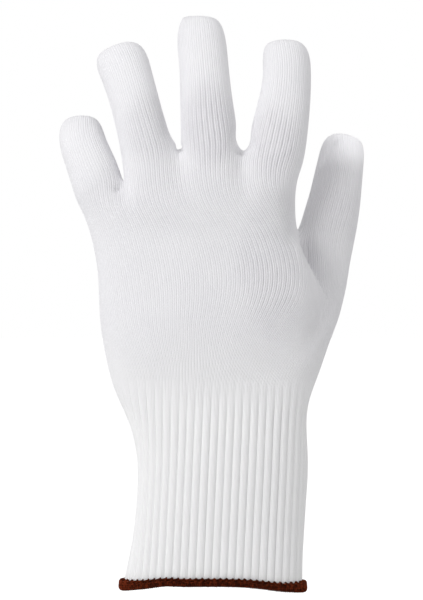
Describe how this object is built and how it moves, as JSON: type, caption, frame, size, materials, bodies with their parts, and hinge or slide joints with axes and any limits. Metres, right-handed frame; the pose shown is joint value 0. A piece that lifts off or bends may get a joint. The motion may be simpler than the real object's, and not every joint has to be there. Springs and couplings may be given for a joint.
{
  "type": "insulated work glove",
  "caption": "Knitted thermal work glove for the left hand in its worn form, with spread fingers, a long ribbed cuff and an overlocked hem; it keeps a working hand warm.",
  "frame": {"origin": "middle of the wrist opening, level with the lowest edge of the hem", "axes": "+Z runs from the wrist opening up to the fingertips, -Y faces out of the back of the hand, and +X points to the thumb's side"},
  "size_m": [0.1396, 0.0757, 0.2613],
  "materials": {
    "white_knit": "fine plain knit, matt and slightly fuzzy",
    "white_rib": "elastic ribbed knit, matt",
    "brown_thread": "thick overlocked thread, matt"
  },
  "bodies": {
    "root": {"knit_hand": "white_knit", "little_stall": "white_knit", "ring_stall": "white_knit", "middle_stall": "white_knit", "index_stall": "white_knit", "thumb_stall": "white_knit", "ribbed_cuff": "white_rib", "hem_binding": "brown_thread"}
  },
  "joints": []
}
